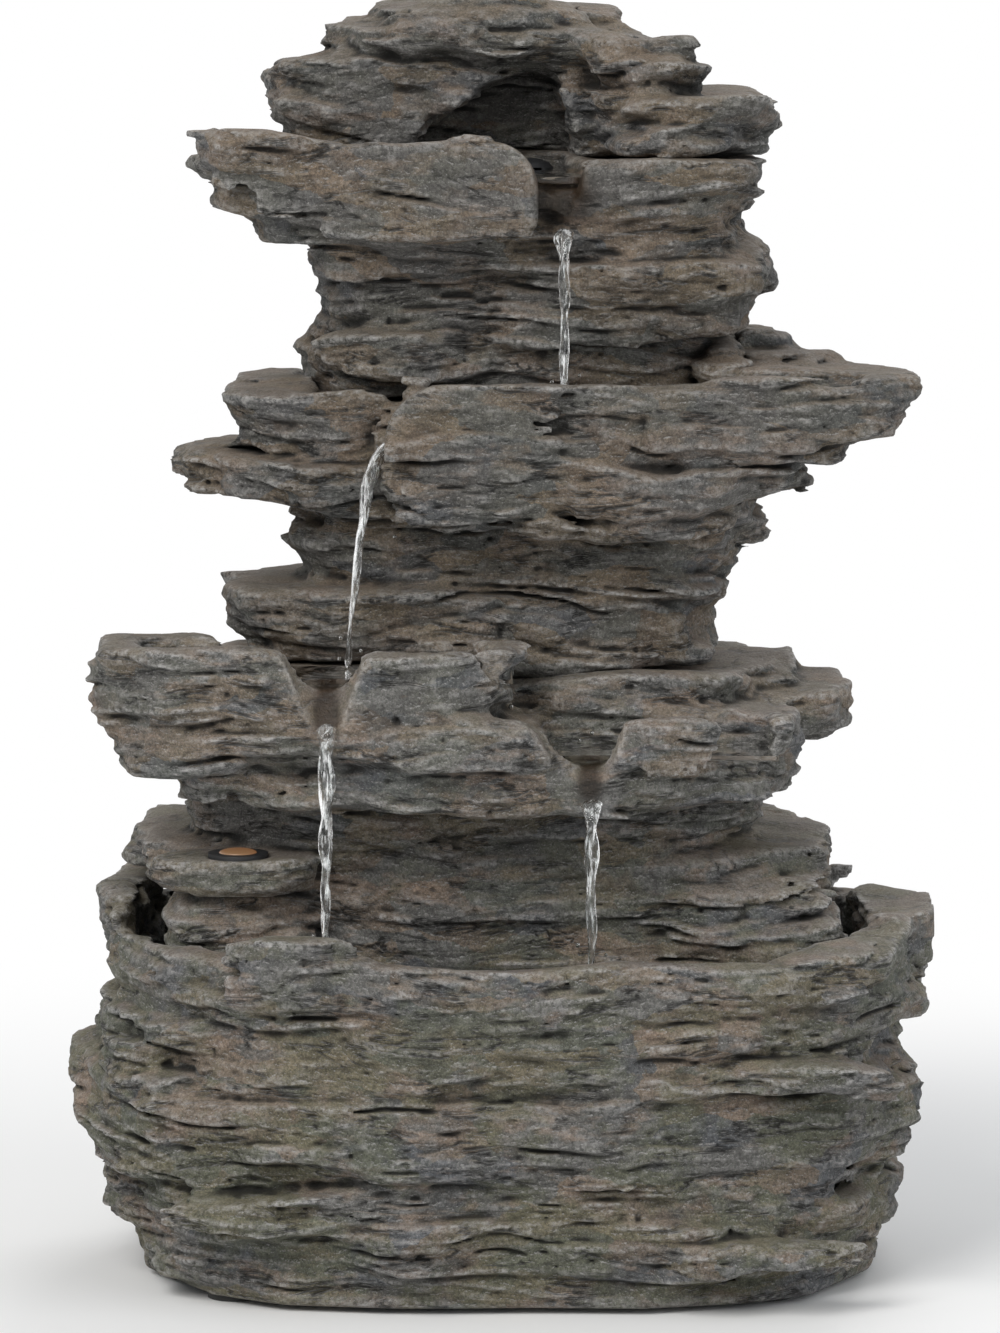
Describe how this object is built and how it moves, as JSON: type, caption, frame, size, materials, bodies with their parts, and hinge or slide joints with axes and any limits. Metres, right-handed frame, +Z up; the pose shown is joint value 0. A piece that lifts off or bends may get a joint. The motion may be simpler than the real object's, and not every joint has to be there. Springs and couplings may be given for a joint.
{
  "type": "tabletop fountain",
  "caption": "Layered rock tabletop fountain with a deep basin, three spilling tiers, a cave outlet, a hidden pump, a riser hose and a rear access door.",
  "frame": {"origin": "on the table, under the middle of the basin", "axes": "+Z up, the front with the spouts faces -Y, +X to the viewer's right"},
  "size_m": [0.2799, 0.2043, 0.41],
  "materials": {
    "rock_grey": "cast resin with stone fill, painted and dry-brushed, matt",
    "rock_brown": "cast resin with stone fill, painted and dry-brushed, matt",
    "rubber": "matt",
    "pump_plastic": "fine moulded grain",
    "dial_plastic": "fine moulded grain",
    "magnet": "sintered ferrite",
    "impeller_plastic": "smooth moulded",
    "shaft_ceramic": "ground",
    "hose": "clear soft tube",
    "clip": "bright",
    "lens": "clear, warm"
  },
  "bodies": {
    "fountain": {"basin": "rock_grey", "feet": "rubber", "lower_tier": "rock_grey", "cord_grommet": "rubber", "middle_tier": "rock_brown", "top_tier": "rock_brown", "crown": "rock_brown", "pump_body": "pump_plastic", "pump_seal": "rubber", "chamber_cover": "pump_plastic", "intake_grille": "pump_plastic", "dial_rivet": "pump_plastic", "rotor_shaft": "shaft_ceramic", "shaft_bushes": "rubber", "suction_cups": "rubber", "riser_hose": "hose", "hose_clip": "clip", "outlet_nozzle": "pump_plastic", "lamp_housings": "pump_plastic", "lamp_lenses": "lens"},
    "rear_door": {"rear_door": "rock_grey"},
    "flow_dial": {"flow_dial": "dial_plastic"},
    "rotor": {"rotor_magnet": "magnet", "impeller": "impeller_plastic"}
  },
  "joints": [
    {"name": "door_lift_off", "type": "slide", "parent": "fountain", "child": "rear_door", "axis": [0, 1, 0], "range_m": [0, 0.06]},
    {"name": "dial_turn", "type": "hinge", "parent": "fountain", "child": "flow_dial", "pos_m": [-0.013, -0.002, 0.0365], "axis": [1, 0, 0], "range_deg": [0, 45]},
    {"name": "rotor_spin", "type": "hinge", "parent": "fountain", "child": "rotor", "pos_m": [0.018, -0.002, 0.0365], "axis": [1, 0, 0], "continuous": true}
  ]
}
